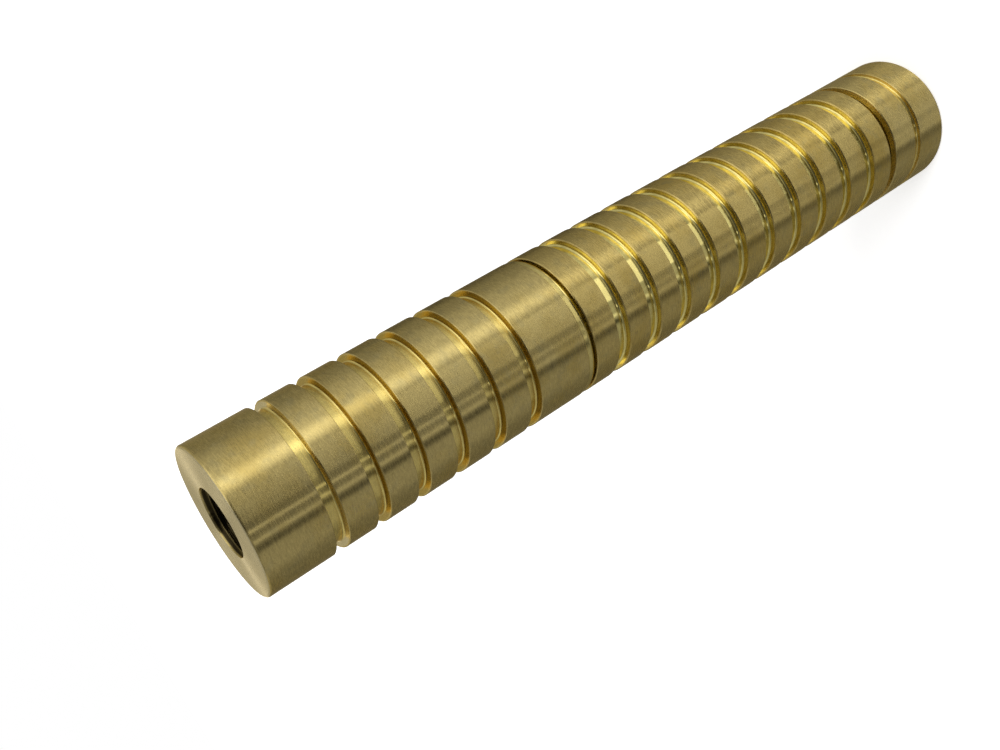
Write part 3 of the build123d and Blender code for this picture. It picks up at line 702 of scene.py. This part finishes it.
def makeTube():
    s = tubeSizes
    spigot, core, seal, edge = (screw[key] for key in ("spigot", "core", "sealFloor", "sealEdge"))
    sealLow = capHigh - screw["setback"] - screw["sealWidth"]
    lowLand = sealLow - screw["shoulder"]
    headSealLow = headLow + screw["setback"]
    topLand = headSealLow + screw["sealWidth"] + screw["shoulder"]
    corners = [
        (core - screw["lead"], tubeLow, 0), (core, tubeLow + screw["lead"], 0), (core, lowLand, 0),
        (spigot, lowLand, edge), (spigot, sealLow, edge), (seal, sealLow, edge),
        (seal, sealLow + screw["sealWidth"], edge), (spigot, sealLow + screw["sealWidth"], edge),
        (spigot, tubeBottom, 0.1), (barrelR, tubeBottom, s["edge"]),
    ]
    middle = (tubeBottom + tubeTop) / 2
    for index in range(s["grooves"]):
        place = middle + (index - (s["grooves"] - 1) / 2) * s["pitch"]
        corners += groove(place, s["width"], s["depth"], s["foot"], s["lip"], s["bevel"])
    corners += [
        (barrelR, tubeTop, s["edge"]), (spigot, tubeTop, 0.1), (spigot, headSealLow, edge),
        (seal, headSealLow, edge), (seal, headSealLow + screw["sealWidth"], edge),
        (spigot, headSealLow + screw["sealWidth"], edge), (spigot, topLand, edge),
        (core, topLand, 0), (core, tubeHigh - screw["lead"], 0),
        (core - screw["lead"], tubeHigh, 0), (screw["cellBore"], tubeHigh, 0.1),
        (screw["cellBore"], tubeLow, 0.1),
    ]
    tube = turnedPiece("gripTube", roundCorners(corners), turnedBrass, segments=176)
    ridges = []
    for name, low, high in (
            ("tailRidge", tubeLow + screw["runOut"], lowLand - screw["runIn"]),
            ("headRidge", topLand + screw["runIn"], tubeHigh - screw["runOut"])):
        ridges.append(threadPiece(name, core - screw["sink"], screw["outerCrest"], low, high,
                                  screw["pitch"], turnedBrass))
    return joinInto(tube, ridges)


def makeCap():
    s = capSizes
    corners = [(barrelR, capLow, s["rim"])]
    corners += groove(s["middle"], s["width"], s["depth"], s["foot"], s["lip"], s["bevel"])
    corners += [
        (barrelR, capHigh, s["edge"]),
        (screw["bore"] + screw["mouthLead"], capHigh, screw["mouthEdge"]),
        (screw["bore"], capHigh - screw["mouthLead"], 0), (screw["bore"], s["web"], 0.1),
        (s["hole"], s["web"], 0.1), (s["hole"], s["recessDepth"], 0.15),
        (s["recess"], s["recessDepth"], 0.3), (s["recess"], capLow, s["recessEdge"]),
    ]
    cap = turnedPiece("tailCap", roundCorners(corners), turnedBrass)
    ridge = threadPiece("capThread", screw["bore"] + screw["sink"], screw["innerCrest"],
                        s["threadLow"], s["threadHigh"], screw["pitch"], turnedBrass, start=0.5)
    return joinInto(cap, [ridge])


for made, node, body in (
        (makeHead(), "head_shell", "barrel"), (makeTube(), "battery_tube", "barrel"),
        (makeCap(), "tail_cap", "tail")):
    made.data.set_sharp_from_angle(angle=sharpAngle)
    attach(made, body)
    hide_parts(node)
print("shells turned")

sealSizes = {"radius": 0.42, "steps": 24}


def sealOutline(node):
    outer, low, high = nodeSpan(node)
    radius = min((high - low) / 2, sealSizes["radius"])
    middle = (low + high) / 2
    centre = outer - radius
    steps = sealSizes["steps"]
    return [(centre + radius * math.cos(i * math.tau / steps),
             middle + radius * math.sin(i * math.tau / steps)) for i in range(steps)]


for name, node, body in (("tailSeal", "tail_o_ring", "seal"), ("headSeal", "head_o_ring", "barrel")):
    made = turnedPiece(name, sealOutline(node), sealRubber, segments=128)
    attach(made, body)
    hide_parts(node)

bootSizes = {
    "tip": 0.6, "side": 4.4, "flange": 10.6, "wall": 0.9, "web": 3.2, "top": 4.1, "crown": 0.35,
    "domeR": 2.0, "domeDrop": 0.06, "crownR": 3.3, "shoulder": 1.5, "innerR": 2.4, "innerLow": 1.9,
}


def makeBoot():
    s = bootSizes
    corners = [
        (0, s["tip"], 0), (s["domeR"], s["tip"] + s["domeDrop"], 1.2),
        (s["crownR"], s["tip"] + s["crown"], 0.8),
        (s["side"], s["tip"] + s["shoulder"], 0.8), (s["side"], s["web"], 0.1),
        (s["flange"], s["web"], 0.12), (s["flange"], s["top"], 0.12),
        (s["side"] - s["wall"], s["top"], 0.1),
        (s["side"] - s["wall"], s["tip"] + s["innerLow"], 0.5),
        (s["innerR"], s["tip"] + s["wall"], 0.6), (0, s["tip"] + s["wall"], 0),
    ]
    return turnedPiece("buttonBoot", roundCorners(corners, closed=False), bootRubber,
                       segments=128, closed=False)


cell = {
    "sleeve": (0.05, 0.16, 0.44), "sleeveDark": (0.06, 0.19, 0.5), "can": (0.62, 0.61, 0.58),
    "canDark": (0.5, 0.49, 0.47), "paper": (0.78, 0.76, 0.7), "overlap": (0.02, 0.07, 0.22),
    "overlapShare": 0.5, "seamWidth": 0.35, "discDepth": 0.5, "discReach": 0.02,
    "roughness": 0.3, "paperRough": 0.4, "roughMix": (0.3, 0.7, -0.03, 0.05), "grain": 2500.0,
    "bump": 0.000005, "bumpShare": 0.3, "base": 7.7, "baseEdge": 0.12, "lip": 0.12, "edge": 0.55,
    "crimp": 3.4, "crimpWidth": 1.4, "crimpDepth": 0.25, "button": 3.2, "buttonHeight": 1.6,
    "buttonEdge": 0.5, "washer": 3.9, "ditch": 0.3,
}


def makeCellFinish():
    made, tree, shader = newMaterial("cellSleeve", cell["sleeve"], 0.0, cell["roughness"])
    _, low, high = nodeSpan("battery_cell")
    coords = tree.nodes.new("ShaderNodeTexCoord")
    place = split(tree, coords.outputs["Object"])
    radius = axisRadius(tree, place)
    fine = noise(tree, coords.outputs["Object"], cell["grain"], 4.0)
    grain = ramp(tree, fine, *mottle["fineMix"])
    topDisc = beyond(tree, place[2], high - cell["buttonHeight"] - cell["ditch"])
    inside = within(tree, radius, cell["base"])
    bottomDisc = within(tree, place[2], low + cell["discDepth"])
    onButton = within(tree, radius, cell["button"] + cell["discReach"])
    bare = calc(tree, "MAXIMUM", bottomDisc, times(tree, topDisc, onButton))
    metal = times(tree, inside, bare)
    paper = times(tree, inside, calc(tree, "SUBTRACT", topDisc, onButton, clamp=True))
    # the sleeve's overlap runs down one side
    overlap = times(tree, calc(tree, "COMPARE", place[1], 0.0, cell["seamWidth"] * mm),
                    calc(tree, "GREATER_THAN", place[0], 0.0))
    film = mixColours(tree, grain, cell["sleeve"], cell["sleeveDark"])
    overlap = times(tree, overlap, cell["overlapShare"])
    film = mixColours(tree, overlap, film, cell["overlap"])
    can = mixColours(tree, grain, cell["can"], cell["canDark"])
    tinted = mixColours(tree, metal, film, can)
    tinted = mixColours(tree, paper, tinted, cell["paper"])
    tree.links.new(tinted, shader.inputs["Base Color"])
    tree.links.new(metal, shader.inputs["Metallic"])
    rough = calc(tree, "ADD", ramp(tree, fine, *cell["roughMix"]),
                 calc(tree, "MULTIPLY_ADD", paper, cell["paperRough"], cell["roughness"]))
    tree.links.new(rough, shader.inputs["Roughness"])
    addBump(tree, shader, fine, cell["bumpShare"], cell["bump"])
    return made


def makeCell():
    s = cell
    outer, low, high = nodeSpan("battery_cell")
    body = high - s["buttonHeight"]
    crimp, half, rim = body - s["crimp"], s["crimpWidth"] / 2, s["base"] + s["baseEdge"]
    corners = [
        (0, low + s["lip"], 0), (s["base"], low + s["lip"], 0.04), (rim, low, 0.05),
        (outer, low, s["edge"]), (outer, crimp - half, 0.5), (outer - s["crimpDepth"], crimp, 0.6),
        (outer, crimp + half, 0.5), (outer, body, s["edge"]), (rim, body, 0.05),
        (s["base"], body - s["lip"], 0.04), (s["washer"] + 0.2, body - s["lip"], 0.05),
        (s["washer"], body - s["ditch"], 0.1), (s["button"], body - s["ditch"], 0.12),
        (s["button"], high, s["buttonEdge"]), (0, high, 0),
    ]
    return turnedPiece("cellBody", roundCorners(corners, closed=False), makeCellFinish(),
                       segments=128, closed=False)


boot = makeBoot()
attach(boot, "tail")
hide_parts("switch_boot")

cellPiece = makeCell()
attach(cellPiece, "tail")
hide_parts("battery_cell")

# piece, node, body, wire radius, turns, radius at the upper end where it differs
springs = (
    ("buttonSpring", "switch_return_spring", "tail", 0.18, 7.0, None),
    ("tailContactSpring", "tail_spring", "tail", 0.4, 6.0, 4.6),
    ("frontContactSpring", "positive_spring", "barrel", 0.35, 5.0, None),
    ("lensSpring", "lens_spring", "barrel", 0.22, 6.0, None),
)
springPieces = {}
for name, node, body, wireR, turns, highR in springs:
    made = coilPiece(name, node, wireR, turns, springSteel, highR=highR)
    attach(made, body)
    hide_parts(node)
    springPieces[name] = made
print("seals, boot, cell and springs made")

carrierTop = 11.4     # the button's spring pushes against the top of the switch body
for piece, node, fixed in (
        (boot, "switch_boot", bootSizes["top"]),
        (springPieces["buttonSpring"], "switch_return_spring", carrierTop)):
    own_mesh(piece)

nodeFinishes = {
    "switch_carrier": switchPlastic, "switch_plunger": plungerPlastic,
    "contact_bridge": contactMetal, "switch_terminals": contactMetal,
    "switch_board": circuitBoard, "switch_retainer": innerBrass, "driver_housing": innerBrass,
    "driver_board": circuitBoard, "driver_inductor": inductorBody, "driver_chip": chipBody,
    "driver_capacitors": capacitorBody, "diode_lead_red": leadRed, "diode_lead_black": leadBlack,
    "module_rear": innerBrass, "module_front": innerBrass, "laser_diode": goldPlate,
    "lens_holder": innerBrass, "collimating_lens": coatedGlass, "front_window": coatedGlass,
    "window_seal": sealRubber, "window_ring": blackAnodised,
}
for node, finish in nodeFinishes.items():
    carried = frame["nodes"][node]
    if not carried.material_slots:
        carried.data.materials.append(finish)
    for slot in carried.material_slots:
        slot.material = finish
print("inner pieces finished")

studio = {
    "floorHalf": 3.0, "floorColour": (0.86, 0.86, 0.86), "lift": 0.36, "farLift": 0.75,
    "fade": (0.12, 0.7), "floorRough": 0.9, "floorSheen": 0.1, "roomLevel": 0.6,
    "glossLevel": 0.26, "darkest": 0.03,
    # lamps: name, place, size and power, all aimed at the pointer's middle
    "aim": (0, 0, 0.07),
    "lamps": [
        ("keyLamp", (1.3, -1.5, 2.2), 2.0, 42.0),
        ("fillLamp", (-1.9, 0.9, 1.8), 2.0, 20.0),
    ],
    # what the metal sees: azimuth, half width and edge in degrees, lowest and highest
    # direction z with its edge, level that the card adds
    "cards": [
        (-30, 34, 22, -1.2, 1.2, 0.1, 0.28),        # broad soft box
        (-50, 9, 9, -0.42, 0.04, 0.14, 1.3),        # its bright core
        (-34, 12, 9, -0.42, 0.04, 0.14, 0.28),
        (-50, 12, 12, -0.76, -0.42, 0.1, 0.05),
        (-80, 12, 9, -0.42, 0.2, 0.08, 0.08),
        (-36, 28, 3, 0.3, 1.2, 0.12, 0.45),         # large window higher up
        (-25, 39, 10, 0.3, 1.2, 0.12, 0.24),
        (-52, 9, 6, 0.6, 1.2, 0.12, 0.2),
        (-16, 22, 12, -1.2, -0.88, 0.03, 1.3),      # bright table under the tail
        (28, 16, 8, -1.2, -0.82, 0.03, 0.8),
        (-30, 32, 12, -0.86, -0.6, 0.06, -0.22),    # and its darker front edge
        (-97, 42, 6, -1.2, -0.9, 0.03, -0.4),       # dark floor in front of it
        (-86, 22, 2, -0.65, -0.48, 0.03, 1.0),      # bright sheet low in front
        (-84, 20, 2, -0.48, -0.38, 0.03, 0.5),
        (-82, 26, 8, -0.78, -0.67, 0.04, -0.3),
        (-123, 17, 4, -0.68, -0.54, 0.03, 0.2),
        (-100, 44, 4, -0.89, -0.78, 0.03, 0.65),
        (-118, 26, 6, -0.46, 0.2, 0.04, -0.09),     # dark stand over it
        (-97, 33, 2, 0.15, 1.2, 0.1, -0.2),
        (-146, 4, 2, -1.2, 0.1, 0.1, -0.2),
        (-119, 2, 0.8, -0.34, 0.2, 0.05, 0.65),     # narrow gaps in the stand
        (-134.5, 2.5, 1.5, -0.7, 0.2, 0.06, 0.4),
        (-168, 20, 10, -0.5, 0.3, 0.1, 0.08),
        (-180, 34, 10, 0.3, 1.2, 0.12, -0.12),
        (130, 35, 20, -1.2, 0.1, 0.15, -0.09),
        (68, 24, 12, -0.66, -0.3, 0.08, -0.18),
        (95, 85, 30, 0.1, 1.2, 0.15, 0.2),          # far wall of the room
        (90, 12, 6, -1.2, 0.1, 0.12, 1.4),          # soft box behind, for views of the back
    ],
}


def makeFloor():
    half = studio["floorHalf"]
    mesh = bpy.data.meshes.new("studioFloor")
    mesh.from_pydata([(-half, -half, 0), (half, -half, 0), (half, half, 0), (-half, half, 0)], [],
                     [(0, 1, 2, 3)])
    floor = addObject("studioFloor", mesh)
    made, tree, shader = newMaterial("paleFloor", studio["floorColour"], 0.0,
                                     studio["floorRough"], Specular_IOR_Level=studio["floorSheen"])
    rays = tree.nodes.new("ShaderNodeLightPath").outputs
    white = calc(tree, "MAXIMUM", rays["Is Camera Ray"], rays["Is Transmission Ray"])
    # the floor fades into the white room away from the pointer
    spot = addNode(tree, "ShaderNodeVectorMath", {
        0: tree.nodes.new("ShaderNodeTexCoord").outputs["Object"]}, operation="LENGTH")
    fade = ramp(tree, spot.outputs["Value"], *studio["fade"], studio["lift"], studio["farLift"])
    lift = addNode(tree, "ShaderNodeEmission", {
        "Color": (1, 1, 1, 1), "Strength": times(tree, white, fade)})
    both = addNode(tree, "ShaderNodeAddShader", {0: shader.outputs[0], 1: lift.outputs[0]})
    out = next(node for node in tree.nodes if node.type == "OUTPUT_MATERIAL")
    tree.links.new(both.outputs[0], out.inputs["Surface"])
    mesh.materials.append(made)
    floor.visible_glossy = False
    return floor


def makeWorld():
    # the camera and the glass see white, diffuse rays an even grey, and metal the cards
    world = bpy.data.worlds.new("studioRoom")
    scene.world = world
    world.use_nodes = True
    tree = world.node_tree
    background = tree.nodes["Background"]
    background.inputs["Color"].default_value = (1, 1, 1, 1)
    rays = tree.nodes.new("ShaderNodeLightPath").outputs
    direction = tree.nodes.new("ShaderNodeTexCoord").outputs["Generated"]
    level = addNode(tree, "ShaderNodeVectorMath", {0: direction, 1: (1, 1, 0)},
                    operation="MULTIPLY").outputs[0]
    flat = addNode(tree, "ShaderNodeVectorMath", {0: level}, operation="NORMALIZE").outputs[0]
    height = split(tree, direction)[2]
    seen = studio["glossLevel"]
    for azimuth, half, edge, low, high, blur, strength in studio["cards"]:
        turn = math.radians(azimuth)
        along = addNode(tree, "ShaderNodeVectorMath", {
            0: flat, 1: (math.cos(turn), math.sin(turn), 0)}, operation="DOT_PRODUCT")
        angle = calc(tree, "ARCCOSINE", along.outputs["Value"])
        card = ramp(tree, angle, math.radians(half + edge), math.radians(half - edge), 0, strength)
        above = ramp(tree, height, low - blur, low + blur)
        below = ramp(tree, height, high + blur, high - blur)
        seen = calc(tree, "MULTIPLY_ADD", times(tree, above, below), card, seen)
    seen = calc(tree, "MAXIMUM", seen, studio["darkest"])
    glossy = rays["Is Glossy Ray"]
    room = times(tree, calc(tree, "SUBTRACT", 1.0, glossy), studio["roomLevel"])
    light = calc(tree, "MULTIPLY_ADD", glossy, seen, room)
    white = calc(tree, "MAXIMUM", rays["Is Camera Ray"], rays["Is Transmission Ray"])
    strength = calc(tree, "MAXIMUM", light, white)
    tree.links.new(strength, background.inputs["Strength"])


def addLamp(name, place, size, power):
    lamp = bpy.data.lights.new(name, "AREA")
    lamp.shape = "DISK"
    lamp.size = size
    lamp.energy = power
    made = addObject(name, lamp)
    made.location = place
    aim = Vector(studio["aim"]) - Vector(place)
    made.rotation_euler = aim.to_track_quat("-Z", "Y").to_euler()
    made.visible_glossy = False
    return made


makeFloor()
makeWorld()
for name, place, size, power in studio["lamps"]:
    addLamp(name, place, size, power)

# place in metres, turn in degrees, lens and sensor in mm
cameraSetup = {
    "place": (0.0, -0.15254, 0.17971), "turn": (-47.155, 50.017, -143.543), "lens": 37.83,
    "sensor": 36, "nearest": 0.005,
}
cameraData = bpy.data.cameras.new("photoView")
cameraData.lens = cameraSetup["lens"]
cameraData.sensor_width = cameraSetup["sensor"]
cameraData.clip_start = cameraSetup["nearest"]
camera = addObject("photoView", cameraData)
camera.location = cameraSetup["place"]
camera.rotation_euler = [math.radians(angle) for angle in cameraSetup["turn"]]
scene.camera = camera
scene.view_settings.view_transform = "Standard"

print("studio set")
